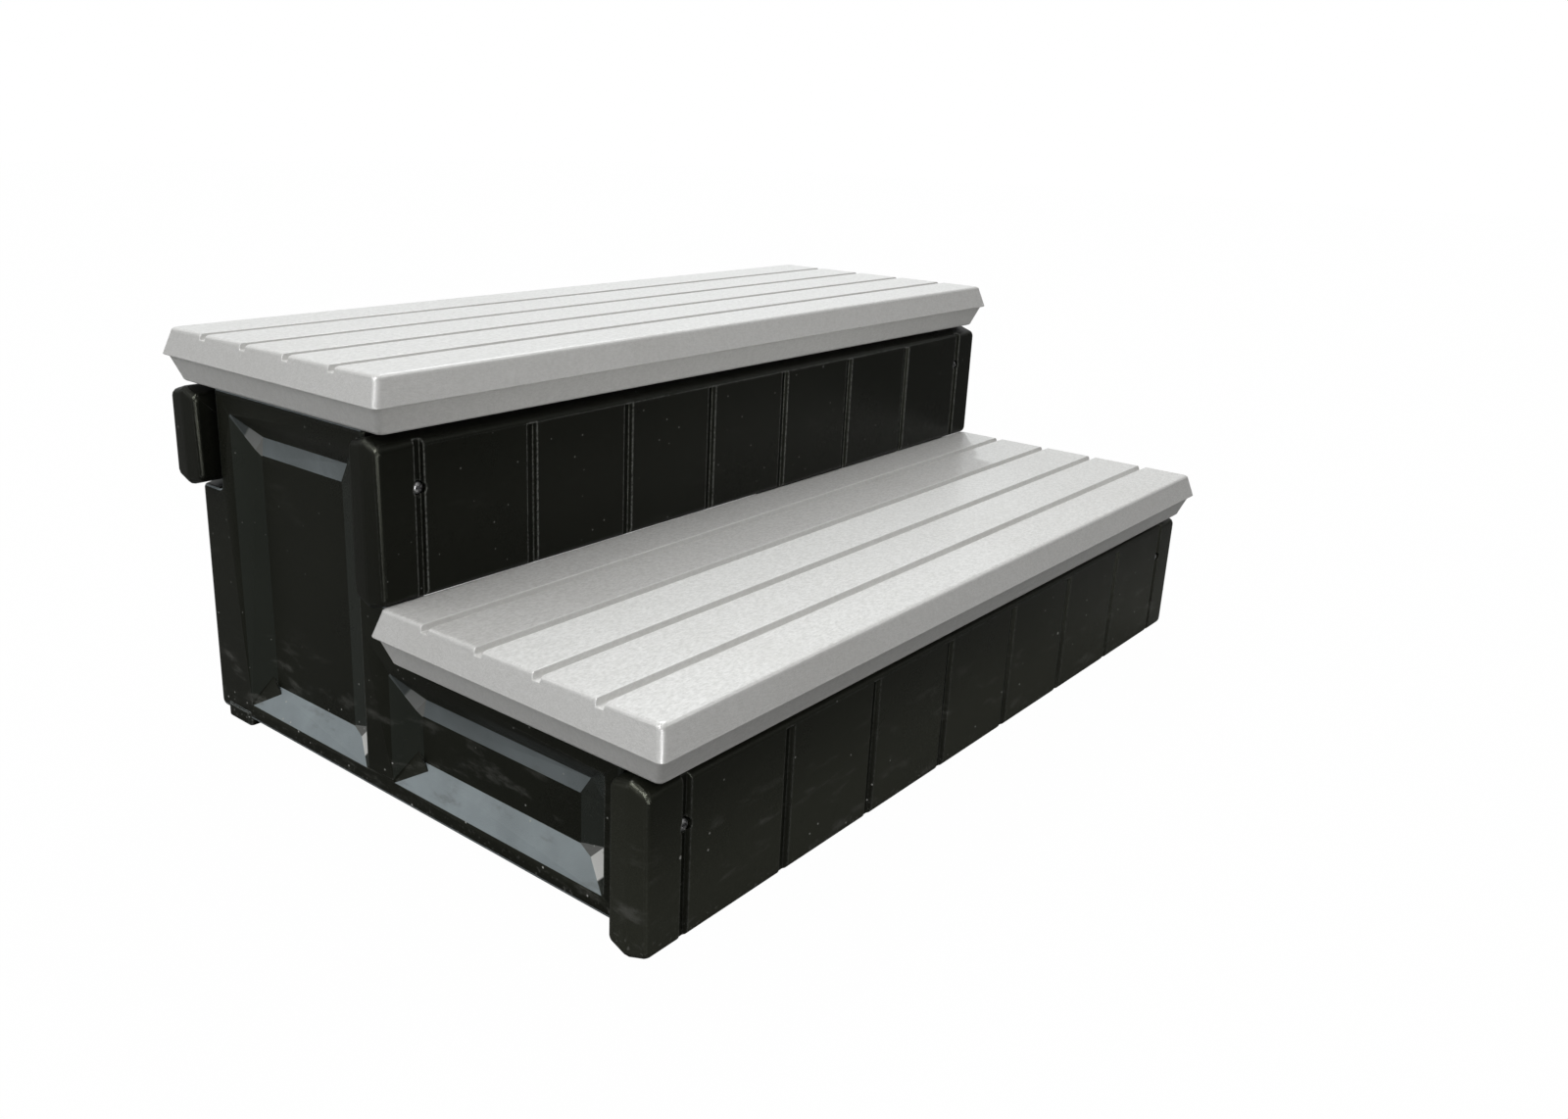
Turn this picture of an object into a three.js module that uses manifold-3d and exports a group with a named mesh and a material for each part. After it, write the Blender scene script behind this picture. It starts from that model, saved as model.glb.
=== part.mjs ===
// Two-tread spa steps: two stair-shaped end panels, two grooved risers, a rear rail and two plank treads,
// all double-walled plastic mouldings, held together by screws.
// Millimetres. X runs along the treads, +Y from the front towards the spa, +Z up.
// The origin is on the floor, at the middle of the overall length and depth.
import * as THREE from "three";
import { mergeVertices } from "three/addons/utils/BufferGeometryUtils.js";
import Module from "manifold-3d";

const wasm = await Module();
wasm.setup();

// ---- driving dimensions -------------------------------------------------------------------------------

const GAP = 0.3; // clearance between pieces that touch
const EDGE_RADIUS = 4; // rounding where a moulding's face meets its edge
const EDGE_STEPS = 3;
const OVERSHOOT = 1; // how far a cutter stands out of the surface it cuts
const WELD_DISTANCE = 1e-4;

// Treads. Depths are measured from the front lip of the lower tread.
const TREAD_LENGTH = 914.4;
const TREAD_DEPTH = 311;
const TREAD_THICKNESS = 47.5;
const TREAD_RUN = 289.6; // upper tread's lip behind the lower one's
const TREAD_RISE = 184.6;
const LOWER_UNDERSIDE = 140.7; // underside of the lower tread above the floor
const PLANKS = 5;
const TREAD_CORNER = 5;
const LIP = { height: 24.2, rounding: 0.8, inset: 0.3 }; // the widest line round the edge
const UNDER_LIP = { height: 22.3, inset: 3.8 }; // where the slope from the underside ends
const TREAD_TAPER = { underside: 10.5, top: 6 }; // how far the faces stand inside the lip
const TREAD_GROOVE = { mouth: 9.4, floor: 7.2, depth: 5.4 };

// Risers and rail. Their top and bottom edges rise to a parting ridge at mid-thickness.
const OVERALL_DEPTH = 602; // front lip of the lower tread to the back of the rail
const BOARD_LENGTH = 904.4;
const CROWN = 5.5; // how far the ridge stands proud of the faces
const BOARD_CORNER = 6;
const BOARD_END_DRAFT = 1.2; // how far the ends draw in from the ridge to the faces
const RIDGE_FLAT = 1.5; // half the width of the flat along the ridge
const RISER = { height: 138.5, thickness: 37.4 };
const RAIL = { height: 89.7, thickness: 40 };
const LOWER_RISER = { y: 16.2, z: 0 };
const UPPER_RISER = { y: 299, z: 183.7 };
const RAIL_BASE = 232;
const RISER_GROOVES = 8;
const RISER_GROOVE_PITCH = 117.6;
const RISER_GROOVE = { mouth: 11, floor: 7.5, depth: 4 };
const OUTERMOST_GROOVE = { mouth: 9, floor: 6.5, depth: 4 };

// End panels.
const PANEL_THICKNESS = 40;
const PANEL_MIDDLE = 414; // distance from the middle of the steps to a panel's parting plane
const PANEL_DRAFT = 3; // how far each face is inside the parting outline
const PANEL_BASE = 3.5;
const PANEL_REAR = 594;
const PANEL_CORNER = { toe: 8, heel: 10, outer: 6, inner: 2 };
const BEHIND_LOWER_TREAD = 1.5; // gap between the lower tread's rear lip and the panel
const FOOT = { inner: -14, outer: 22, front: 538, rear: 577, height: 14 }; // under the rear bottom corner
const FOOT_EDGE = { corner: 5, chamfer: 2 };

// Recesses in the outer faces: a steep wall down to a shoulder, then a shallow slope to the floor.
const LOW_RECESS = { front: 74, bottom: 23.5, rear: 320.5, top: 122.5 };
const TALL_RECESS = { front: 355, bottom: 23.5, rear: 535.8, top: 302 };
const SHOULDER = { depth: 12, front: 11, bottom: 17, rear: 18.8, top: 17 }; // distances in from the rim
const RECESS_FLOOR = { depth: 15, front: 38, bottom: 21.5, rear: 23.5, top: 35.5 };
const SHOULDER_CORNER = 14; // cut off the corners of the shoulder
const SHARP_CORNER = 1;

// Screws.
const SHANK_RADIUS = 2.4;
const SCREW_SIDES = 12;
const HEAD = { radius: 4.8, crownRadius: 2.9, height: 3.2, rimHeight: 1.4 };
const SCREW_LENGTH = 55;
const SCREW_POINT = 5;
const PILOT_SPARE = 3; // a pilot hole runs on this far past the screw's point
const COUNTERBORE = { radius: 6, depth: 5 };
const RISER_SCREW_HEIGHT = 95; // above the riser's own base
const RISER_SCREW_X = (RISER_GROOVE_PITCH * (RISER_GROOVES - 1)) / 2; // in the outermost grooves
const TREAD_SCREW_X = PANEL_MIDDLE - 10;
const LEDGE = 18; // panel material above each tread screw's pocket
const LOWER_TREAD_SCREWS = [100, 218];
const UPPER_TREAD_SCREWS = [392, 505];
const POCKET = { width: 28, height: 26, depth: 20, corner: 4 };

const UPPER_UNDERSIDE = LOWER_UNDERSIDE + TREAD_RISE;
const RAIL_FRONT = OVERALL_DEPTH - RAIL.thickness;

// ---- materials ----------------------------------------------------------------------------------------

const blackPlastic = () =>
  new THREE.MeshStandardMaterial({ color: 0x1a1c1a, roughness: 0.42, metalness: 0 });
const greyPlastic = () =>
  new THREE.MeshStandardMaterial({ color: 0xbfbcb8, roughness: 0.55, metalness: 0 });
const steel = () => new THREE.MeshStandardMaterial({ color: 0x8d9092, roughness: 0.35, metalness: 1 });

// ---- solids -------------------------------------------------------------------------------------------

function toSolid(geometry) {
  const bare = geometry.clone();
  bare.deleteAttribute("normal");
  bare.deleteAttribute("uv");
  const merged = mergeVertices(bare, WELD_DISTANCE);
  return new wasm.Manifold(
    new wasm.Mesh({
      numProp: 3,
      vertProperties: new Float32Array(merged.attributes.position.array),
      triVerts: new Uint32Array(merged.index.array),
    }),
  );
}

function toGeometry(solid) {
  const { vertProperties, triVerts } = solid.getMesh();
  const geometry = new THREE.BufferGeometry();
  geometry.setAttribute("position", new THREE.BufferAttribute(new Float32Array(vertProperties), 3));
  geometry.setIndex(new THREE.BufferAttribute(new Uint32Array(triVerts), 1));
  geometry.computeVertexNormals();
  return geometry;
}

const cutAll = (body, cutters) => cutters.reduce((left, cutter) => left.subtract(cutter), body);

// A closed outline from corners listed anticlockwise, moved inwards by inset, with each corner rounded.
// Convex radii shrink and concave radii grow with the inset.
function ring(corners, inset, { steps = 3, smallest = 2 } = {}) {
  const points = [];
  corners.forEach(({ u, v, radius }, i) => {
    const before = corners[(i + corners.length - 1) % corners.length];
    const after = corners[(i + 1) % corners.length];
    const arriving = new THREE.Vector2(u - before.u, v - before.v).normalize();
    const leaving = new THREE.Vector2(after.u - u, after.v - v).normalize();
    const turn = Math.atan2(arriving.cross(leaving), arriving.dot(leaving));
    const side = Math.sign(turn);
    const inward = new THREE.Vector2(-arriving.y, arriving.x);
    const shift = inward.clone().add(new THREE.Vector2(-leaving.y, leaving.x));
    shift.multiplyScalar(inset / (1 + arriving.dot(leaving)));
    const rounding = Math.max(radius - side * inset, smallest);
    const centre = new THREE.Vector2(u, v)
      .add(shift)
      .addScaledVector(arriving, -rounding * Math.tan(Math.abs(turn) / 2))
      .addScaledVector(inward, side * rounding);
    for (let k = 0; k <= steps; k++) {
      const spoke = inward.clone().multiplyScalar(-side * rounding);
      points.push(spoke.rotateAround(new THREE.Vector2(), (turn * k) / steps).add(centre));
    }
  });
  return points;
}

// A closed skin over rings of equal point count, stacked along the third axis.
function loft(sections) {
  const count = sections[0].points.length;
  const positions = sections.flatMap(({ at, points }) => points.flatMap((p) => [p.x, p.y, at]));
  const index = [];
  for (let level = 0; level + 1 < sections.length; level++) {
    for (let i = 0; i < count; i++) {
      const here = level * count + i;
      const next = level * count + ((i + 1) % count);
      index.push(here, next, next + count, here, next + count, here + count);
    }
  }
  const top = (sections.length - 1) * count;
  const bottomFaces = THREE.ShapeUtils.triangulateShape(sections[0].points, []);
  const topFaces = THREE.ShapeUtils.triangulateShape(sections.at(-1).points, []);
  bottomFaces.forEach(([a, b, c]) => index.push(a, c, b));
  topFaces.forEach(([a, b, c]) => index.push(top + a, top + b, top + c));
  const geometry = new THREE.BufferGeometry();
  geometry.setAttribute("position", new THREE.Float32BufferAttribute(positions, 3));
  geometry.setIndex(index);
  return geometry;
}

const rectangle = (left, bottom, right, top, radius) => [
  { u: left, v: bottom, radius },
  { u: right, v: bottom, radius },
  { u: right, v: top, radius },
  { u: left, v: top, radius },
];

// The rounding between a face and an edge, from the edge to the face: [distance from the face, extra inset].
const ROUNDED_EDGE = Array.from({ length: EDGE_STEPS + 1 }, (_, k) => {
  const angle = (k / EDGE_STEPS) * (Math.PI / 2);
  return [EDGE_RADIUS * (1 - Math.sin(angle)), EDGE_RADIUS * (1 - Math.cos(angle))];
});

// Levels through a moulding that is the same on both sides of its middle, from those of the near half.
function mirrored(halfLevels, thickness) {
  const farHalf = halfLevels.slice(0, -1).reverse();
  return [...halfLevels, ...farHalf.map(([from, inset]) => [thickness - from, inset])];
}

// A hole or peg along +Y, starting at y = 0.
function cylinder(radius, length, segments = 16) {
  const geometry = new THREE.CylinderGeometry(radius, radius, length, segments);
  return geometry.translate(0, length / 2, 0);
}

// A straight groove cutter of trapezoid section along +X from x = 0, opening upwards at z = 0.
function grooveCutter({ mouth, floor, depth }, length) {
  const flare = ((mouth - floor) / 2) * (OVERSHOOT / depth);
  const section = new THREE.Shape([
    new THREE.Vector2(-floor / 2, -depth),
    new THREE.Vector2(floor / 2, -depth),
    new THREE.Vector2(mouth / 2 + flare, OVERSHOOT),
    new THREE.Vector2(-mouth / 2 - flare, OVERSHOOT),
  ]);
  const geometry = new THREE.ExtrudeGeometry(section, { depth: length, bevelEnabled: false });
  return geometry.rotateX(Math.PI / 2).rotateZ(Math.PI / 2);
}

// ---- treads -------------------------------------------------------------------------------------------

// A slab whose edge swells to a lip at mid-thickness, stacked along Z from its underside.
function treadGeometry(screwDepths) {
  const underside = ROUNDED_EDGE.map(([up, inset]) => [up, TREAD_TAPER.underside + inset]);
  const levels = [
    ...underside.reverse(),
    [UNDER_LIP.height, UNDER_LIP.inset],
    [LIP.height - LIP.rounding, LIP.inset],
    [LIP.height, 0],
    [LIP.height + LIP.rounding, LIP.inset],
    ...ROUNDED_EDGE.map(([down, inset]) => [TREAD_THICKNESS - down, TREAD_TAPER.top + inset]),
  ];
  const half = TREAD_LENGTH / 2;
  const sections = levels.map(([at, inset]) => ({
    at,
    points: ring(rectangle(-half, 0, half, TREAD_DEPTH, TREAD_CORNER + inset), inset, { steps: 5 }),
  }));
  const body = toSolid(loft(sections));

  const length = TREAD_LENGTH + 2 * OVERSHOOT;
  const grooves = Array.from({ length: PLANKS - 1 }, (_, i) =>
    toSolid(
      grooveCutter(TREAD_GROOVE, length).translate(
        -length / 2,
        (TREAD_DEPTH * (i + 1)) / PLANKS,
        TREAD_THICKNESS,
      ),
    ),
  );
  const pilotDepth = SCREW_LENGTH - LEDGE + PILOT_SPARE;
  const pilots = [-TREAD_SCREW_X, TREAD_SCREW_X].flatMap((x) =>
    screwDepths.map((y) => {
      const pilot = cylinder(SHANK_RADIUS + GAP, pilotDepth).rotateX(Math.PI / 2);
      return toSolid(pilot.translate(x, y, -OVERSHOOT));
    }),
  );
  return toGeometry(cutAll(body, [...grooves, ...pilots]));
}

// ---- risers and rail ----------------------------------------------------------------------------------

// An upright board, front face at y = 0 and lowest ridge at z = 0, with a crowned top and bottom edge.
function boardSolid({ height, thickness }) {
  const half = thickness / 2;
  const ridgeEdge = half - RIDGE_FLAT;
  const halfLevels = [...ROUNDED_EDGE.toReversed(), [ridgeEdge, 0], [half, 0]];
  const sections = mirrored(halfLevels, thickness).map(([at, inset]) => {
    const fromFace = Math.min(at, thickness - at);
    const short = 1 - Math.min(fromFace / ridgeEdge, 1);
    const side = BOARD_LENGTH / 2 - BOARD_END_DRAFT * short;
    const lift = CROWN * short;
    const outline = rectangle(-side, lift, side, height - lift, BOARD_CORNER);
    return { at, points: ring(outline, inset, { smallest: 3 }) };
  });
  return toSolid(loft(sections).rotateX(Math.PI / 2).translate(0, thickness, 0));
}

// A clearance hole with a counterbore, opening at the front face.
function screwHole(x, z, thickness) {
  return [
    toSolid(cylinder(COUNTERBORE.radius, COUNTERBORE.depth + OVERSHOOT).translate(x, -OVERSHOOT, z)),
    toSolid(cylinder(SHANK_RADIUS + GAP, thickness + 2 * OVERSHOOT).translate(x, -OVERSHOOT, z)),
  ];
}

function riserGeometry() {
  const belowCrown = RISER.height - CROWN - EDGE_RADIUS;
  const grooves = Array.from({ length: RISER_GROOVES }, (_, i) => {
    const x = RISER_GROOVE_PITCH * (i - (RISER_GROOVES - 1) / 2);
    const outermost = i === 0 || i === RISER_GROOVES - 1;
    const length = OVERSHOOT + (outermost ? RISER.height + OVERSHOOT : belowCrown);
    const cutter = grooveCutter(outermost ? OUTERMOST_GROOVE : RISER_GROOVE, length);
    cutter.rotateY(-Math.PI / 2).rotateZ(Math.PI / 2);
    return toSolid(cutter.translate(x, 0, -OVERSHOOT));
  });
  const holes = [-RISER_SCREW_X, RISER_SCREW_X].flatMap((x) =>
    screwHole(x, RISER_SCREW_HEIGHT, RISER.thickness),
  );
  return toGeometry(cutAll(boardSolid(RISER), [...grooves, ...holes]));
}

function railGeometry() {
  const holes = [-RISER_SCREW_X, RISER_SCREW_X].flatMap((x) =>
    screwHole(x, RAIL.height / 2, RAIL.thickness),
  );
  return toGeometry(cutAll(boardSolid(RAIL), holes));
}

// ---- end panels ---------------------------------------------------------------------------------------

// Stands a profile drawn in Y and Z up, with its stacking direction along +X.
const standUp = (geometry) =>
  geometry.applyMatrix4(
    new THREE.Matrix4().makeBasis(
      new THREE.Vector3(0, 1, 0),
      new THREE.Vector3(0, 0, 1),
      new THREE.Vector3(1, 0, 0),
    ),
  );

function panelBody() {
  const front = LOWER_RISER.y + RISER.thickness + GAP;
  const shelf = LOWER_UNDERSIDE - GAP;
  const behindTread = TREAD_DEPTH + BEHIND_LOWER_TREAD;
  const riserSeat = UPPER_RISER.z - GAP;
  const behindRiser = UPPER_RISER.y + RISER.thickness + GAP;
  const top = UPPER_UNDERSIDE - GAP;
  const beforeRail = RAIL_FRONT - GAP;
  const railSeat = RAIL_BASE - GAP;
  const outline = [
    { u: front, v: PANEL_BASE, radius: PANEL_CORNER.toe },
    { u: PANEL_REAR, v: PANEL_BASE, radius: PANEL_CORNER.heel },
    { u: PANEL_REAR, v: railSeat, radius: PANEL_CORNER.outer },
    { u: beforeRail, v: railSeat, radius: PANEL_CORNER.inner },
    { u: beforeRail, v: top, radius: PANEL_CORNER.outer },
    { u: behindRiser, v: top, radius: PANEL_CORNER.outer },
    { u: behindRiser, v: riserSeat, radius: PANEL_CORNER.inner },
    { u: behindTread, v: riserSeat, radius: PANEL_CORNER.outer },
    { u: behindTread, v: shelf, radius: PANEL_CORNER.inner },
    { u: front, v: shelf, radius: PANEL_CORNER.outer },
  ];
  const half = PANEL_THICKNESS / 2;
  const nearFace = ROUNDED_EDGE.toReversed().map(([from, inset]) => [from, PANEL_DRAFT + inset]);
  const levels = mirrored([...nearFace, [half, 0]], PANEL_THICKNESS);
  const sections = levels.map(([from, inset]) => ({ at: from - half, points: ring(outline, inset) }));
  return toSolid(standUp(loft(sections)));
}

// A rectangle standing inside a recess's rim by the given distances; fractions below 0 stand outside it.
function insideRim(rim, step, fraction, corner) {
  return rectangle(
    rim.front + step.front * fraction,
    rim.bottom + step.bottom * fraction,
    rim.rear - step.rear * fraction,
    rim.top - step.top * fraction,
    corner,
  );
}

function recessCutter(rim) {
  const face = PANEL_THICKNESS / 2;
  const levels = [
    [RECESS_FLOOR, 1, SHARP_CORNER],
    [SHOULDER, 1, SHOULDER_CORNER],
    [SHOULDER, -OVERSHOOT / SHOULDER.depth, SHARP_CORNER],
  ];
  const sections = levels.map(([step, fraction, corner]) => ({
    at: face - step.depth * fraction,
    points: ring(insideRim(rim, step, fraction, corner), 0, { steps: 1, smallest: SHARP_CORNER }),
  }));
  return toSolid(standUp(loft(sections)));
}

// A pocket in the inner face, and the clearance hole up through the ledge above it.
function treadScrewPocket(y, shelf) {
  const inner = -PANEL_THICKNESS / 2;
  const roof = shelf - LEDGE;
  const opening = rectangle(
    y - POCKET.width / 2,
    roof - POCKET.height,
    y + POCKET.width / 2,
    roof,
    POCKET.corner,
  );
  const sections = [inner - OVERSHOOT, inner + POCKET.depth].map((at) => ({ at, points: ring(opening, 0) }));
  const hole = cylinder(SHANK_RADIUS + GAP, LEDGE + 2 * OVERSHOOT).rotateX(Math.PI / 2);
  const x = TREAD_SCREW_X - PANEL_MIDDLE;
  return [toSolid(standUp(loft(sections))), toSolid(hole.translate(x, y, roof - OVERSHOOT))];
}

// A short foot under the rear bottom corner, flush with the floor.
function foot() {
  const outline = rectangle(FOOT.inner, FOOT.front, FOOT.outer, FOOT.rear, FOOT_EDGE.corner);
  const levels = [
    [0, FOOT_EDGE.chamfer],
    [FOOT_EDGE.chamfer, 0],
    [FOOT.height, 0],
  ];
  return toSolid(loft(levels.map(([at, inset]) => ({ at, points: ring(outline, inset) }))));
}

// The right-hand panel, centred on its parting plane, with its outer face towards +X.
function panelGeometry() {
  const pockets = [
    ...LOWER_TREAD_SCREWS.map((y) => treadScrewPocket(y, LOWER_UNDERSIDE)),
    ...UPPER_TREAD_SCREWS.map((y) => treadScrewPocket(y, UPPER_UNDERSIDE)),
  ].flat();
  const pilotDepth = COUNTERBORE.depth + SCREW_LENGTH + PILOT_SPARE;
  const x = RISER_SCREW_X - PANEL_MIDDLE;
  const pilot = (y, z) => toSolid(cylinder(SHANK_RADIUS + GAP, pilotDepth).translate(x, y, z));
  const pilots = [
    pilot(LOWER_RISER.y, LOWER_RISER.z + RISER_SCREW_HEIGHT),
    pilot(UPPER_RISER.y, UPPER_RISER.z + RISER_SCREW_HEIGHT),
    pilot(OVERALL_DEPTH - pilotDepth, RAIL_BASE + RAIL.height / 2),
  ];
  const recesses = [LOW_RECESS, TALL_RECESS].map(recessCutter);
  const body = panelBody().add(foot());
  return toGeometry(cutAll(body, [...recesses, ...pockets, ...pilots]));
}

// ---- screws -------------------------------------------------------------------------------------------

// A pan-head screw along +Y: the seat under its head is at y = 0.
function screwGeometry() {
  const profile = [
    [0, -HEAD.height],
    [HEAD.crownRadius, -HEAD.height],
    [HEAD.radius, -HEAD.rimHeight],
    [HEAD.radius, 0],
    [SHANK_RADIUS, 0],
    [SHANK_RADIUS, SCREW_LENGTH - SCREW_POINT],
    [0, SCREW_LENGTH],
  ];
  return new THREE.LatheGeometry(
    profile.map(([radius, y]) => new THREE.Vector2(radius, y)),
    SCREW_SIDES,
  );
}

// ---- the steps ----------------------------------------------------------------------------------------

const steps = new THREE.Group();
const fromLip = new THREE.Group(); // holds everything in depths from the lower tread's front lip
fromLip.position.y = -OVERALL_DEPTH / 2;
steps.add(fromLip);

function place(name, geometry, material, x, y, z) {
  const mesh = new THREE.Mesh(geometry, material);
  mesh.name = name;
  mesh.position.set(x, y, z);
  fromLip.add(mesh);
  return mesh;
}

const panel = panelGeometry();
place("right_end_panel", panel, blackPlastic(), PANEL_MIDDLE, 0, 0);
place("left_end_panel", panel, blackPlastic(), -PANEL_MIDDLE, 0, 0).scale.x = -1;

const riser = riserGeometry();
place("lower_riser", riser, blackPlastic(), 0, LOWER_RISER.y, LOWER_RISER.z);
place("upper_riser", riser, blackPlastic(), 0, UPPER_RISER.y, UPPER_RISER.z);
place("rear_rail", railGeometry(), blackPlastic(), 0, OVERALL_DEPTH, RAIL_BASE).rotation.z = Math.PI;

const lowerTread = treadGeometry(LOWER_TREAD_SCREWS);
const upperTread = treadGeometry(UPPER_TREAD_SCREWS.map((y) => y - TREAD_RUN));
place("lower_tread", lowerTread, greyPlastic(), 0, 0, LOWER_UNDERSIDE);
place("upper_tread", upperTread, greyPlastic(), 0, TREAD_RUN, UPPER_UNDERSIDE);

const screw = screwGeometry();
const seat = COUNTERBORE.depth - GAP;
for (const [side, sign] of [
  ["left", -1],
  ["right", 1],
]) {
  const x = sign * RISER_SCREW_X;
  for (const [board, { y, z }] of [
    ["lower_riser", LOWER_RISER],
    ["upper_riser", UPPER_RISER],
  ]) {
    place(`${board}_screw_${side}`, screw, steel(), x, y + seat, z + RISER_SCREW_HEIGHT);
  }
  const railScrew = place(
    `rear_rail_screw_${side}`,
    screw,
    steel(),
    x,
    OVERALL_DEPTH - seat,
    RAIL_BASE + RAIL.height / 2,
  );
  railScrew.rotation.z = Math.PI;
  for (const [tread, depths, underside] of [
    ["lower_tread", LOWER_TREAD_SCREWS, LOWER_UNDERSIDE],
    ["upper_tread", UPPER_TREAD_SCREWS, UPPER_UNDERSIDE],
  ]) {
    depths.forEach((y, i) => {
      const name = `${tread}_screw_${side}_${["front", "rear"][i]}`;
      const z = underside - LEDGE - GAP;
      place(name, screw, steel(), sign * TREAD_SCREW_X, y, z).rotation.x = Math.PI / 2;
    });
  }
}

export default steps;
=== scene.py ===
"""Looks of the spa steps: satin black moulded bases and speckled light grey treads on a plain pale floor."""

import math

import bmesh
import bpy
from mathutils import Matrix, Vector


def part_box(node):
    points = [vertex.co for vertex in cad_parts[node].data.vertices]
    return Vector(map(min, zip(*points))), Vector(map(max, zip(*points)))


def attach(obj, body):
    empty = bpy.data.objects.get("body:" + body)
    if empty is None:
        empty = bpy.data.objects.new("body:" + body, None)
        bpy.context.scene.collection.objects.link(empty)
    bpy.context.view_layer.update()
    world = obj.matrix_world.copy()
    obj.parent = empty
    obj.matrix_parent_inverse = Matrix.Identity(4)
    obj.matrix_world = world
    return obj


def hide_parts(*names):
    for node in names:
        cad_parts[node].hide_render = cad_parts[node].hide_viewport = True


PANELS = ["left_end_panel", "right_end_panel"]
BOARDS = ["lower_riser", "upper_riser", "rear_rail"]
TREADS = ["lower_tread", "upper_tread"]

EDGE_RADIUS = {"panel": 0.0009, "board": 0.0012, "tread": 0.0014}
EDGE_SEGMENTS = 3
WELD_DISTANCE = 1e-5
SMOOTH_BELOW = math.radians(38)  # sharper edges are rounded off
CREASE_BELOW = math.radians(12.5)  # gentle bends between large faces stay crisp

SCREW = {
    "head_radius": 0.0047,
    "head_height": 0.0032,
    "dome": 0.55,  # the share of the head's height that its domed top takes
    "length": 0.0545,  # from under the head to the point's tip
    "point": 0.005,
    "core": 0.0017,
    "shank": 0.00235,
    "pitch": 0.0018,
    "cross_radius": 0.0029,
    "cross_depth": 0.0016,
    "slot": 0.0011,
}
SCREW_SIDES = 32
HEAD_RINGS = 14
RINGS_PER_PITCH = 6

CAMERA = {
    "place": (-1.0157, -0.7967, 0.5599),
    "right": (0.6489, -0.7602, 0.0312),
    "up": (0.2128, 0.2207, 0.9518),
    "forward": (0.7305, 0.611, -0.305),
    "sensor_width": 36.0,  # millimetres, like the lens
    "lens": 29.81,
    "shift": (0.0513, -0.0155),
}


# ---- node helpers ---------------------------------------------------------------------------------------


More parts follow.
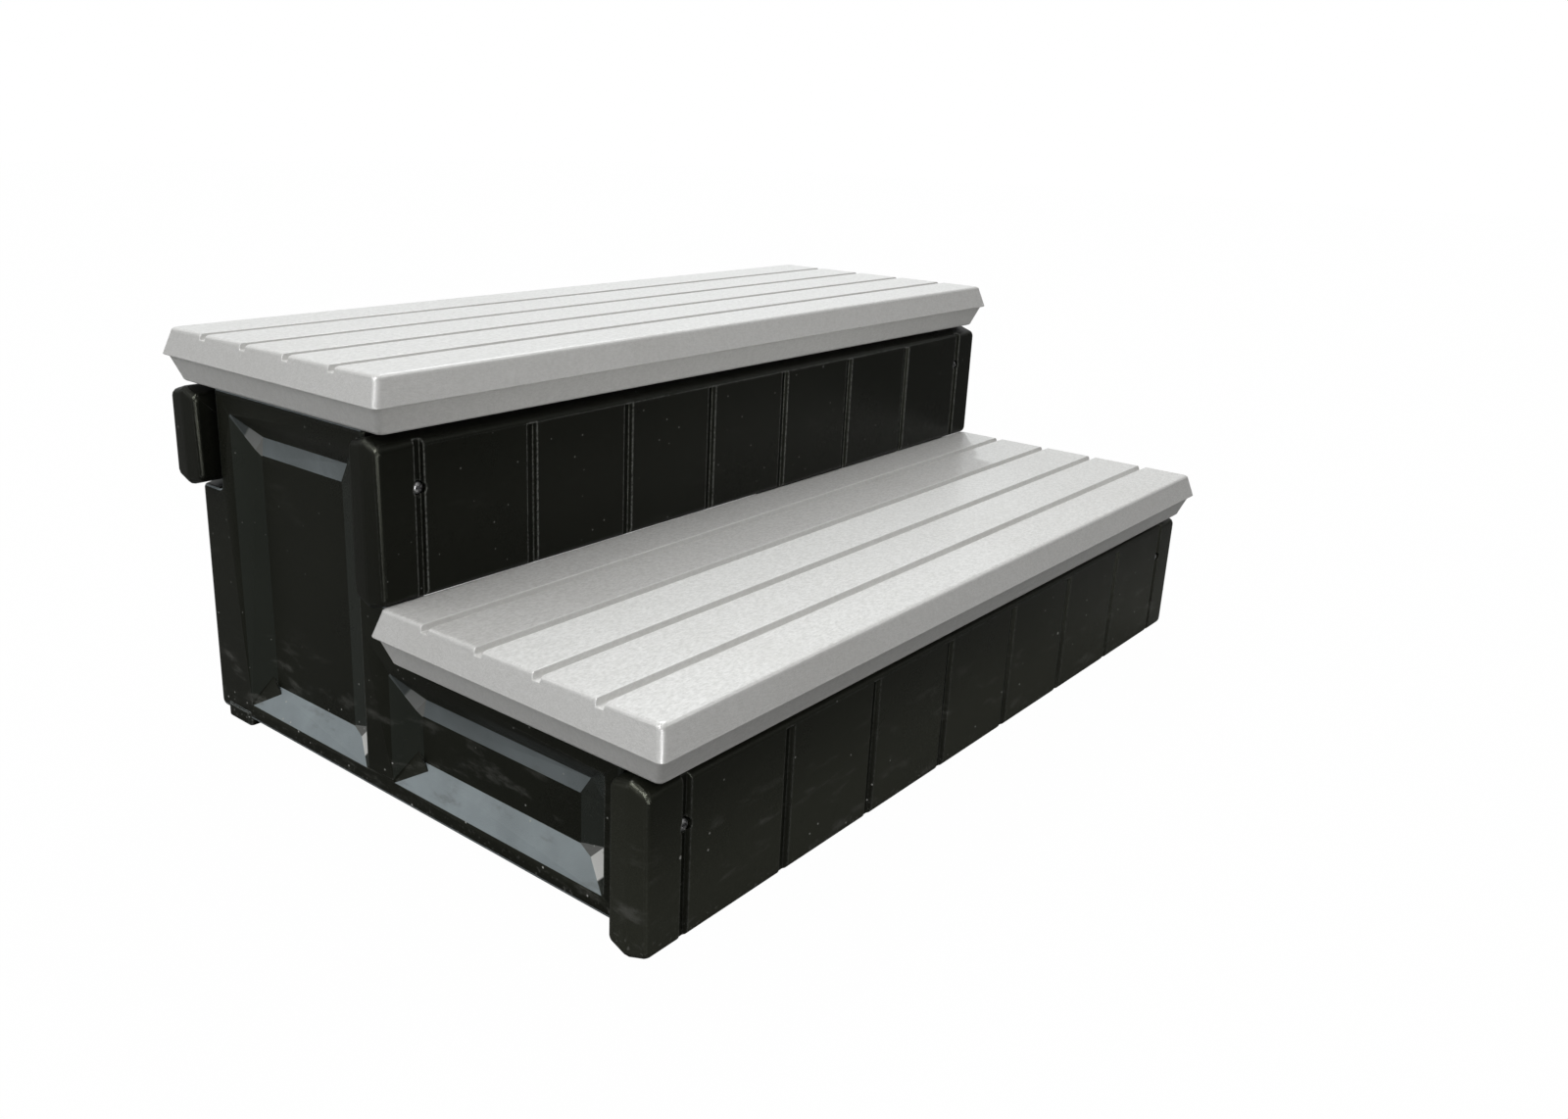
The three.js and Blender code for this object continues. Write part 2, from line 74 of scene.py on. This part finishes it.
class Shader:
    """A material under construction, with helpers that add nodes and return their sockets."""

    def __init__(self, name):
        self.material = bpy.data.materials.new(name)
        self.material.use_nodes = True
        self.tree = self.material.node_tree
        self.principled = self.tree.nodes["Principled BSDF"]
        self.coords = self.node("ShaderNodeTexCoord").outputs["Object"]

    def node(self, kind, **settings):
        made = self.tree.nodes.new(kind)
        for key, value in settings.items():
            setattr(made, key, value)
        return made

    def put(self, socket, value):
        if isinstance(value, bpy.types.NodeSocket):
            self.tree.links.new(value, socket)
        else:
            socket.default_value = value

    def math(self, operation, a, b=0.0):
        made = self.node("ShaderNodeMath", operation=operation)
        self.put(made.inputs[0], a)
        self.put(made.inputs[1], b)
        return made.outputs[0]

    def times(self, *values):
        product = values[0]
        for value in values[1:]:
            product = self.math("MULTIPLY", product, value)
        return product

    def parts(self, vector):
        made = self.node("ShaderNodeSeparateXYZ")
        self.put(made.inputs[0], vector)
        return made.outputs

    def normal(self):
        """The flat face's own normal, as x, y and z."""
        return self.parts(self.node("ShaderNodeNewGeometry").outputs["True Normal"])

    def stretched(self, scale, turn=(0, 0, 0)):
        """Coordinates turned by degrees and then scaled, for a noise that runs along one direction."""
        made = self.node("ShaderNodeMapping")
        self.put(made.inputs["Vector"], self.coords)
        made.inputs["Rotation"].default_value = [math.radians(t) for t in turn]
        made.inputs["Scale"].default_value = scale
        return made.outputs[0]

    def noise(self, scale, detail=4.0, roughness=0.5, coords=None):
        made = self.node("ShaderNodeTexNoise")
        self.put(made.inputs["Vector"], coords or self.coords)
        made.inputs["Scale"].default_value = scale
        made.inputs["Detail"].default_value = detail
        made.inputs["Roughness"].default_value = roughness
        return made.outputs[0]

    def ramp(self, value, low, high, to_low=0.0, to_high=1.0):
        """value from low to high becomes to_low to to_high, and stays there outside."""
        made = self.node("ShaderNodeMapRange", interpolation_type="SMOOTHSTEP")
        self.put(made.inputs["Value"], value)
        made.inputs["From Min"].default_value = low
        made.inputs["From Max"].default_value = high
        made.inputs["To Min"].default_value = to_low
        made.inputs["To Max"].default_value = to_high
        return made.outputs[0]

    def mix(self, amount, a, b):
        """Colour a where the amount is 0, and b where it is 1."""
        made = self.node("ShaderNodeMix", data_type="RGBA")
        self.put(made.inputs["Factor"], amount)
        self.put(made.inputs["A"], colour(a))
        self.put(made.inputs["B"], colour(b))
        return made.outputs["Result"]

    def specks(self, per_metre, radius, share):
        """1 in round spots of the given radius, one in each cell of a share of the cells."""
        cells = self.node("ShaderNodeTexVoronoi")
        self.put(cells.inputs["Vector"], self.coords)
        cells.inputs["Scale"].default_value = per_metre
        dots = self.ramp(cells.outputs["Distance"], radius * per_metre, radius * per_metre * 0.6)
        picked = self.node("ShaderNodeSeparateColor")
        self.put(picked.inputs[0], cells.outputs["Color"])
        return self.times(dots, self.math("LESS_THAN", picked.outputs[0], share))

    def worn_and_glinting_edges(self, radius):
        """1 along outer edges that turn within the radius, and 0 on flats and in inner corners: where edges
        are worn and lit with a painted highlight.
        """
        rounded = self.node("ShaderNodeBevel", samples=4)
        rounded.inputs["Radius"].default_value = radius
        flat = self.node("ShaderNodeNewGeometry").outputs["Normal"]
        turn = self.node("ShaderNodeVectorMath", operation="DOT_PRODUCT")
        self.put(turn.inputs[0], rounded.outputs[0])
        self.put(turn.inputs[1], flat)
        edges = self.ramp(turn.outputs["Value"], 0.995, 0.9)
        return self.times(edges, self.open_air(3 * radius, 0.72, 0.9))

    def open_air(self, distance, closed, clear):
        """1 on open surfaces and 0 where others of the same piece stand round them within the distance."""
        around = self.node("ShaderNodeAmbientOcclusion", samples=6, only_local=True)
        around.inputs["Distance"].default_value = distance
        return self.ramp(around.outputs["AO"], closed, clear)

    def bump(self, height, distance, strength):
        made = self.node("ShaderNodeBump")
        self.put(made.inputs["Height"], height)
        made.inputs["Distance"].default_value = distance
        made.inputs["Strength"].default_value = strength
        self.put(self.principled.inputs["Normal"], made.outputs[0])

    def finish(self, base, roughness, specular, tint=(1, 1, 1)):
        self.put(self.principled.inputs["Base Color"], base)
        self.put(self.principled.inputs["Roughness"], roughness)
        self.principled.inputs["Specular IOR Level"].default_value = specular
        self.principled.inputs["Specular Tint"].default_value = colour(tint)
        return self.material


def colour(value):
    """An opaque colour from a triple. A node's socket stays as it is."""
    return (*value, 1.0) if isinstance(value, tuple) else value


# ---- materials ------------------------------------------------------------------------------------------

# Black mouldings, and what lies on them.
BLACK = (0.0036, 0.0040, 0.0024)
BLACK_FADED = (0.0066, 0.0072, 0.0046)
BLACK_GLOSS = (0.96, 1.0, 0.82)
DUST = (0.06, 0.06, 0.055)
SMEAR = (0.12, 0.12, 0.11)
SPECK = (0.42, 0.42, 0.40)
# worn edges, lightened also as a painted highlight
EDGE_WEAR_AND_GLINT = (0.20, 0.205, 0.195)
EDGE_WEAR_AND_GLINT_RADIUS = 0.0026  # radius within which an edge is worn and lit with a painted highlight

# Boards: dusty low down, with the dust left off the grooves so these stay dark as painted shade; lighter on
# their ends as painted light; darker high up as painted shade under the upper tread.
LOW_DUST = (0.036, 0.0375, 0.028)
END_PAINTED_LIGHT = (0.028, 0.029, 0.022)
HIGH_PAINTED_SHADE = (0.0012, 0.0014, 0.0008)
GROOVE_REACH = 0.014  # dust is left off hollows narrower than about this, which keeps them dark as painted shade

# End panels: hazy faces, and recess walls painted lighter by where they face, as painted reflections of sky
# and ground, with painted highlights on their corner facets.
HAZE = (0.0205, 0.0215, 0.016)
SLOPE_UP_SKY_REFLECTION = (0.30, 0.342, 0.36)
SLOPE_DOWN_GROUND_REFLECTION = (0.195, 0.22, 0.228)
SLOPE_SIDE_REFLECTION = (0.022, 0.025, 0.021)
CORNER_GLINT = (0.62, 0.62, 0.60)
RIM_DEPTH = (0.003, 0.005)  # depths below the outermost plane over which a recess begins
INNER_DEPTH = (0.0086, 0.0094)  # the painted highlights on the corner facets lie below this
BEYOND_FLOOR = (0.017, 0.019)  # deeper than the floor of a recess

# Treads.
TREAD_LIGHT = (0.645, 0.641, 0.626)
TREAD_DARK = (0.48, 0.476, 0.459)
STAIN = (0.40, 0.385, 0.355)
PALE_FLECK = (0.85, 0.85, 0.83)
DARK_FLECK = (0.2, 0.19, 0.17)
# worn tread edges, lightened also as a painted highlight
TREAD_EDGE_WEAR_AND_GLINT = (0.78, 0.78, 0.765)
TREAD_EDGE_WEAR_AND_GLINT_RADIUS = 0.0025
TREAD_COAT = {"Coat Weight": 0.5, "Coat Roughness": 0.28, "Coat IOR": 1.6}

ZINC = (0.05, 0.05, 0.052)
ZINC_WORN = (0.2, 0.2, 0.2)

FLOOR_REACH = 12.0
PAPER = ((0.12, 0.12, 0.118), (0.15, 0.15, 0.147))
SUNLIGHT = (0.955, 0.99, 1.0)
COOL_WHITE = (0.97, 0.985, 1.0)
SKY_WHITE = (0.93, 0.98, 1.0)


def black_plastic(name, recessed):
    """Satin black with dust, smears and worn edges lightened also as painted highlights, for the recessed
    end panels or for the boards; the panels' recess walls carry painted reflections, and the boards painted
    light and shade.
    """
    s = Shader(name)
    x, _, height = s.parts(s.coords)
    low_down = s.ramp(height, 0.02, 0.16, 1, 0.2)

    clouds = s.noise(7, detail=7, roughness=0.6)
    base = s.mix(s.ramp(clouds, 0.35, 0.72), BLACK, BLACK_FADED)
    smears = s.noise(1.0, detail=8, roughness=0.62, coords=s.stretched((13, 13, 46), turn=(0, 28, 12)))
    base = s.mix(s.ramp(smears, 0.58, 0.8, 0, 0.3), base, DUST)
    if recessed:
        sunk = s.math("SUBTRACT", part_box("right_end_panel")[1][0], s.math("ABSOLUTE", x))
        # the recess walls get painted reflections and painted highlights
        base = recess_wall_reflections(s, s.mix(0.4, base, HAZE), sunk)
        rubbed_and_glinting = s.math("ADD", s.ramp(sunk, *reversed(RIM_DEPTH)), s.ramp(sunk, *BEYOND_FLOOR))
    else:
        base = board_dust_light_and_shade(s, base, low_down, height)
        rubbed_and_glinting = s.ramp(height, 0.13, 0.2, 0.45, 1.0)

    base = s.mix(s.times(s.specks(80, 0.0011, 0.45), low_down), base, SPECK)
    base = s.mix(s.times(s.specks(26, 0.0018, 0.5), low_down), base, SPECK)
    streaks = s.noise(1.0, detail=9, roughness=0.65, coords=s.stretched((18, 18, 60), turn=(0, 24, 0)))
    base = s.mix(s.times(s.ramp(streaks, 0.54, 0.72, 0, 0.5), s.ramp(height, 0.12, 0.06)), base, SMEAR)
    scuffs = s.ramp(s.noise(260, detail=6), 0.6, 0.66)
    base = s.mix(s.times(scuffs, s.ramp(height, 0.024, 0.006), 0.2), base, SPECK)
    # worn edges lightened also as painted highlights, broken by noise, and stronger high up on the boards
    edges = s.times(s.worn_and_glinting_edges(EDGE_WEAR_AND_GLINT_RADIUS), s.ramp(s.noise(420, detail=6), 0.35, 0.6, 0.3, 1.0), rubbed_and_glinting)
    base = s.mix(edges, base, EDGE_WEAR_AND_GLINT)

    grain = s.noise(1400, detail=2, roughness=0.6)
    s.bump(s.math("ADD", grain, s.times(clouds, 2.0)), 0.0003, 0.5)
    roughness = s.math("ADD", s.ramp(clouds, 0.3, 0.7, 0.22, 0.32), s.times(grain, 0.08))
    return s.finish(base, roughness, 0.11, tint=BLACK_GLOSS)


def recess_wall_reflections(s, base, sunk):
    """Painted reflections of sky and ground on the walls of an end panel's recesses, with painted highlights
    on their corner facets. sunk is the depth below the outermost plane.
    """
    x, y, z = s.normal()
    outward = s.math("ABSOLUTE", x)
    faces_out = s.ramp(outward, 0.55, 0.7)  # leaves out the panel's own top, bottom and ends
    reflection_mottle = s.ramp(s.noise(22, detail=6), 0.3, 0.7, 0.8, 1.0)
    rearwards, forwards = s.ramp(y, 0.12, 0.2), s.ramp(y, -0.12, -0.2)

    # painted reflection on the walls that face front or rear
    base = s.mix(s.times(faces_out, s.ramp(s.math("ABSOLUTE", y), 0.07, 0.1)), base, SLOPE_SIDE_REFLECTION)
    gentle_down = s.times(s.ramp(z, -0.09, -0.12), s.ramp(outward, 0.93, 0.96))
    # painted reflection of the ground on the gentle walls that face down
    base = s.mix(s.times(gentle_down, reflection_mottle), base, SLOPE_DOWN_GROUND_REFLECTION)
    # painted reflection of the sky on the walls that face up
    base = s.mix(s.times(faces_out, s.ramp(z, 0.3, 0.45), reflection_mottle), base, SLOPE_UP_SKY_REFLECTION)

    bottom_front = s.times(rearwards, s.ramp(z, 0.12, 0.2))
    bottom_rear = s.times(forwards, s.ramp(z, 0.12, 0.2))
    top_rear = s.times(forwards, s.ramp(z, -0.12, -0.2, 0, 0.3))
    # the walls that face front and up are left dark, without the painted sky reflection
    base = s.mix(s.times(bottom_rear, faces_out), base, BLACK_FADED)
    deepened = s.math("ADD", sunk, s.ramp(z, -0.1, 0.1, 0, 0.0025))
    # painted highlights on the deep corner facets that face rear and up, or front and down
    corner_glints = s.times(s.math("ADD", bottom_front, top_rear), faces_out, s.ramp(deepened, *INNER_DEPTH))
    return s.mix(corner_glints, base, CORNER_GLINT)


def board_dust_light_and_shade(s, base, low_down, height):
    """A riser's or the rail's dust, heaviest low down and left off its grooves so they stay dark as painted
    shade; its ends lighter as painted light; darker high up as painted shade under the upper tread.
    """
    # dust low down, left off the grooves so these stay dark as painted shade
    base = s.mix(s.times(low_down, s.open_air(GROOVE_REACH, 0.8, 0.97)), base, LOW_DUST)
    # ends lighter, as painted light
    base = s.mix(s.ramp(s.math("ABSOLUTE", s.normal()[0]), 0.8, 0.95, 0, 0.7), base, END_PAINTED_LIGHT)
    # darker high up, as painted shade under the upper tread
    return s.mix(s.ramp(height, 0.15, 0.2, 0, 0.65), base, HIGH_PAINTED_SHADE)


def grey_plastic(name):
    """Light grey with a grain along the planks, strongest where it is walked on."""
    s = Shader(name)
    grain = s.noise(1.0, detail=5, roughness=0.65, coords=s.stretched((220, 520, 520)))
    cross = s.noise(1.0, detail=4, roughness=0.6, coords=s.stretched((320, 800, 800), turn=(0, 0, 38)))
    mottle = s.noise(190, detail=6, roughness=0.7)
    pattern = s.math("ADD", s.times(grain, 0.4), s.times(cross, 0.25))
    pattern = s.math("ADD", pattern, s.times(mottle, 0.35))
    walked_on = s.ramp(s.normal()[2], 0.9, 0.98, 0.45, 1.0)
    contrast = s.times(s.math("SUBTRACT", s.ramp(pattern, 0.38, 0.62), 0.5), walked_on)
    base = s.mix(s.math("ADD", contrast, 0.5), TREAD_DARK, TREAD_LIGHT)
    stains = s.noise(5, detail=6, roughness=0.6)
    base = s.mix(s.ramp(stains, 0.5, 0.75, 0, 0.2), base, STAIN)
    base = s.mix(s.specks(30, 0.0011, 0.05), base, PALE_FLECK)
    base = s.mix(s.specks(34, 0.0008, 0.03), base, DARK_FLECK)
    # worn tread edges, lightened also as painted highlights
    base = s.mix(s.times(s.worn_and_glinting_edges(TREAD_EDGE_WEAR_AND_GLINT_RADIUS), 0.5), base, TREAD_EDGE_WEAR_AND_GLINT)
    s.bump(s.math("ADD", pattern, s.times(grain, 0.6)), 0.0006, 0.6)
    for socket, value in TREAD_COAT.items():
        s.principled.inputs[socket].default_value = value
    return s.finish(base, s.ramp(pattern, 0.35, 0.65, 0.58, 0.46), 0.4)


def zinc_steel(name):
    """Black zinc-plated steel, tarnished in spots."""
    s = Shader(name)
    tarnish = s.noise(300, detail=6, roughness=0.6)
    base = s.mix(s.ramp(tarnish, 0.35, 0.65), ZINC, ZINC_WORN)
    s.bump(s.noise(2500, detail=2), 0.0001, 0.3)
    s.principled.inputs["Metallic"].default_value = 1.0
    return s.finish(base, s.ramp(tarnish, 0.3, 0.7, 0.28, 0.45), 0.5)


# ---- shapes ---------------------------------------------------------------------------------------------


def smooth_by_angle():
    """Geometry nodes that shade rounded edges smoothly, and keep sharp edges and slight creases crisp."""
    tree = bpy.data.node_groups.new("smooth_by_angle", "GeometryNodeTree")
    tree.interface.new_socket("Geometry", in_out="INPUT", socket_type="NodeSocketGeometry")
    tree.interface.new_socket("Geometry", in_out="OUTPUT", socket_type="NodeSocketGeometry")
    start = tree.nodes.new("NodeGroupInput")
    faces = tree.nodes.new("GeometryNodeSetShadeSmooth")
    edges = tree.nodes.new("GeometryNodeSetShadeSmooth")
    edges.domain = "EDGE"
    edges.inputs["Shade Smooth"].default_value = False
    angle = tree.nodes.new("GeometryNodeInputMeshEdgeAngle")
    off_middle = tree.nodes.new("ShaderNodeMath")
    off_middle.operation = "COMPARE"
    off_middle.inputs[1].default_value = (SMOOTH_BELOW + CREASE_BELOW) / 2
    off_middle.inputs[2].default_value = (SMOOTH_BELOW - CREASE_BELOW) / 2
    sharp = tree.nodes.new("ShaderNodeMath")
    sharp.operation = "SUBTRACT"
    sharp.inputs[0].default_value = 1.0
    end = tree.nodes.new("NodeGroupOutput")
    for a, b in [
        (start.outputs[0], faces.inputs["Geometry"]),
        (faces.outputs[0], edges.inputs["Geometry"]),
        (angle.outputs["Unsigned Angle"], off_middle.inputs[0]),
        (off_middle.outputs[0], sharp.inputs[1]),
        (sharp.outputs[0], edges.inputs["Selection"]),
        (edges.outputs[0], end.inputs[0]),
    ]:
        tree.links.new(a, b)
    return tree


def soften(obj, radius, smoothing):
    """Rounds a moulding's sharp edges, and shades the rest by its large faces."""
    weld = obj.modifiers.new("weld", "WELD")
    weld.merge_threshold = WELD_DISTANCE
    bevel = obj.modifiers.new("edges", "BEVEL")
    bevel.width = radius
    bevel.segments = EDGE_SEGMENTS
    bevel.limit_method = "ANGLE"
    bevel.angle_limit = SMOOTH_BELOW
    bevel.use_clamp_overlap = True
    shade = obj.modifiers.new("shade", "NODES")
    shade.node_group = smoothing
    flatten = obj.modifiers.new("flat_faces", "WEIGHTED_NORMAL")
    flatten.mode = "FACE_AREA"
    flatten.weight = 100
    flatten.keep_sharp = True


def screw_mesh():
    """A pan-head screw along +Z, from the top of its head at z = 0: cross recess, threads and point."""
    angles = [2 * math.pi * i / SCREW_SIDES for i in range(SCREW_SIDES)]
    under_head = SCREW["head_height"]
    rows = []  # rings of radius and height, one pair for each angle
    for step in range(HEAD_RINGS + 1):
        r = SCREW["head_radius"] * step / HEAD_RINGS
        z = under_head * SCREW["dome"] * (step / HEAD_RINGS) ** 4
        rows.append([(r, z + cross_recess(r, angle)) for angle in angles])
    rows.append([(SCREW["head_radius"], under_head)] * SCREW_SIDES)
    turns = int((SCREW["length"] - SCREW["point"]) / SCREW["pitch"])
    for step in range(turns * RINGS_PER_PITCH + 1):
        z = under_head + SCREW["pitch"] * step / RINGS_PER_PITCH
        rows.append([(thread_radius(z / SCREW["pitch"] - i / SCREW_SIDES), z) for i in range(SCREW_SIDES)])
    rows.append([(0.0, under_head + SCREW["length"])] * SCREW_SIDES)

    points = [(r * math.cos(a), r * math.sin(a), z) for row in rows for a, (r, z) in zip(angles, row)]
    faces = []
    for start in range(0, (len(rows) - 1) * SCREW_SIDES, SCREW_SIDES):
        for i in range(SCREW_SIDES):
            a, b = start + i, start + (i + 1) % SCREW_SIDES
            faces.append((a, a + SCREW_SIDES, b + SCREW_SIDES, b))
    mesh = bpy.data.meshes.new("screw")
    mesh.from_pydata(points, [], faces)
    made = bmesh.new()
    made.from_mesh(mesh)
    bmesh.ops.remove_doubles(made, verts=made.verts, dist=1e-6)
    bmesh.ops.recalc_face_normals(made, faces=made.faces)
    made.to_mesh(mesh)
    made.free()
    return mesh


def cross_recess(r, angle):
    """How deep the driver's cross is at this place on the head."""
    across = min(abs(r * math.cos(angle)), abs(r * math.sin(angle)))
    inside = across < SCREW["slot"] / 2 and r < SCREW["cross_radius"]
    return SCREW["cross_depth"] * (1 - 0.5 * r / SCREW["cross_radius"]) if inside else 0.0


def thread_radius(turn):
    """The radius at a number of turns along the thread: half of each pitch is core, and half is a ridge."""
    ridge = 1 - abs(2 * (turn % 1) - 1)
    return SCREW["core"] + (SCREW["shank"] - SCREW["core"]) * max(0.0, 2 * ridge - 1)


def place_screw(node, mesh):
    """Puts a detailed screw where the plain one is, with its head at the plain one's head."""
    low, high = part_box(node)
    middle = (low + high) / 2
    if node.startswith(("lower_tread", "upper_tread")):
        at, direction = Vector((middle.x, middle.y, low.z)), Vector((0, 0, 1))
    elif node.startswith("rear_rail"):
        at, direction = Vector((middle.x, high.y, middle.z)), Vector((0, -1, 0))
    else:
        at, direction = Vector((middle.x, low.y, middle.z)), Vector((0, 1, 0))
    piece = bpy.data.objects.new(node + "_detail", mesh)
    bpy.context.scene.collection.objects.link(piece)
    piece.rotation_mode = "QUATERNION"
    piece.rotation_quaternion = direction.to_track_quat("Z", "Y")
    piece.location = at
    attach(piece, "root")
    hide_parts(node)


def paint(obj, material):
    obj.data.materials.clear()
    obj.data.materials.append(material)


# ---- studio ---------------------------------------------------------------------------------------------


def make_floor():
    """A pale floor: what the camera sees of it is nearly as light as the backdrop."""
    mesh = bpy.data.meshes.new("floor")
    corners = [(FLOOR_REACH * x, FLOOR_REACH * y, 0) for x, y in [(-1, -1), (1, -1), (1, 1), (-1, 1)]]
    mesh.from_pydata(corners, [], [(0, 1, 2, 3)])
    floor = bpy.data.objects.new("floor", mesh)
    bpy.context.scene.collection.objects.link(floor)
    s = Shader("floor_paper")
    s.finish(s.mix(s.noise(3, detail=5), *PAPER), 0.9, 0.2)
    glow = s.node("ShaderNodeEmission")
    glow.inputs["Strength"].default_value = 1.03
    mixed = s.node("ShaderNodeMixShader")
    seen = s.node("ShaderNodeLightPath").outputs["Is Camera Ray"]
    s.put(mixed.inputs[0], s.times(seen, 0.96))
    s.put(mixed.inputs[1], s.principled.outputs[0])
    s.put(mixed.inputs[2], glow.outputs[0])
    s.put(s.tree.nodes["Material Output"].inputs["Surface"], mixed.outputs[0])
    paint(floor, s.material)


def make_backdrop(horizon, overhead):
    """White to the camera. To everything else, a soft light that grows from the horizon to overhead."""
    world = bpy.data.worlds.new("backdrop")
    bpy.context.scene.world = world
    world.use_nodes = True
    nodes, links = world.node_tree.nodes, world.node_tree.links
    background = nodes["Background"]
    background.inputs["Color"].default_value = (1.0, 1.0, 1.0, 1.0)
    direction = nodes.new("ShaderNodeSeparateXYZ")
    links.new(nodes.new("ShaderNodeTexCoord").outputs["Generated"], direction.inputs[0])
    light = nodes.new("ShaderNodeMapRange")
    light.inputs["From Max"].default_value = 0.9
    light.inputs["To Min"].default_value = horizon
    light.inputs["To Max"].default_value = overhead
    links.new(direction.outputs["Z"], light.inputs["Value"])
    strength = nodes.new("ShaderNodeMix")
    strength.inputs["B"].default_value = 1.0
    links.new(nodes.new("ShaderNodeLightPath").outputs["Is Camera Ray"], strength.inputs["Factor"])
    links.new(light.outputs[0], strength.inputs["A"])
    links.new(strength.outputs[0], background.inputs["Strength"])


def add_lamp(obj, place, towards):
    """Puts a lamp into the scene at a place, pointing towards another."""
    bpy.context.scene.collection.objects.link(obj)
    obj.location = place
    obj.rotation_euler = (Vector(towards) - Vector(place)).to_track_quat("-Z", "Y").to_euler()


def softbox(name, place, towards, size, radiance, tint=(1, 1, 1), glints_only=False):
    """A rectangular lamp. With glints_only it shows in shiny edges and surfaces but lights nothing else."""
    lamp = bpy.data.lights.new(name, "AREA")
    lamp.shape = "RECTANGLE"
    lamp.size, lamp.size_y = size
    lamp.energy = radiance * lamp.size * lamp.size_y * math.pi
    lamp.color = tint
    obj = bpy.data.objects.new(name, lamp)
    obj.visible_diffuse = not glints_only
    add_lamp(obj, place, towards)


def key_light(from_direction, strength, tint):
    """The sun, whose edge of shade crosses the lower tread."""
    lamp = bpy.data.lights.new("key", "SUN")
    lamp.energy = strength
    lamp.color = tint
    lamp.angle = math.radians(2.5)
    obj = bpy.data.objects.new("key", lamp)
    add_lamp(obj, from_direction, (0, 0, 0))


def make_camera():
    """Front left and above the upper tread, as fitted to the straight edges of the object in the photo."""
    data = bpy.data.cameras.new("camera")
    data.sensor_width = CAMERA["sensor_width"]
    data.lens = CAMERA["lens"]
    data.shift_x, data.shift_y = CAMERA["shift"]
    camera = bpy.data.objects.new("camera", data)
    axes = Matrix((CAMERA["right"], CAMERA["up"], -Vector(CAMERA["forward"])))
    camera.rotation_mode = "QUATERNION"
    camera.rotation_quaternion = axes.transposed().to_quaternion()
    camera.location = CAMERA["place"]
    bpy.context.scene.collection.objects.link(camera)
    bpy.context.scene.camera = camera


# ---- the scene ------------------------------------------------------------------------------------------

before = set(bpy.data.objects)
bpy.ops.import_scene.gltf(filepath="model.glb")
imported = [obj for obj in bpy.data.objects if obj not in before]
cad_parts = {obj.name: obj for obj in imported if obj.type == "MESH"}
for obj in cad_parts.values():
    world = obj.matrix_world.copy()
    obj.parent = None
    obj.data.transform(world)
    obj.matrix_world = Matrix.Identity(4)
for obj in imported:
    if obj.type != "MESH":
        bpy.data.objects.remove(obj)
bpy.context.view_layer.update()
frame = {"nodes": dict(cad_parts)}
nodes = frame["nodes"]

panel_black = black_plastic("panel_black", recessed=True)
board_black = black_plastic("board_black", recessed=False)
tread_grey = grey_plastic("tread_grey")
steel = zinc_steel("screw_zinc")
smoothing = smooth_by_angle()
screw = screw_mesh()
screw.materials.append(steel)

for name, obj in nodes.items():
    if name in PANELS:
        soften(obj, EDGE_RADIUS["panel"], smoothing)
        paint(obj, panel_black)
    elif name in BOARDS:
        soften(obj, EDGE_RADIUS["board"], smoothing)
        paint(obj, board_black)
    elif name in TREADS:
        soften(obj, EDGE_RADIUS["tread"], smoothing)
        paint(obj, tread_grey)
    else:
        paint(obj, steel)
        place_screw(name, screw)

make_floor()
make_backdrop(horizon=0.03, overhead=1.28)
key_light((127, 97, 161), 1.07, SUNLIGHT)
softbox("left_box", (-2.3, 0.9, 1.0), (-0.3, 0, 0.15), (2.4, 2.2), 0.86, COOL_WHITE)
softbox("high_box", (-1.75, 0.0, 1.85), (-0.45, -0.1, 0.2), (0.6, 0.6), 110.0, glints_only=True)
softbox("rear_box", (1.4, 2.8, 1.5), (0, 0.15, 0.35), (5.5, 2.6), 0.4, SKY_WHITE, glints_only=True)
softbox("front_box", (-1.75, -1.85, 0.42), (-0.45, -0.3, 0.15), (1.0, 0.9), 38.0, glints_only=True)
make_camera()

view = bpy.context.scene.view_settings
view.view_transform = "Standard"
view.look = "None"
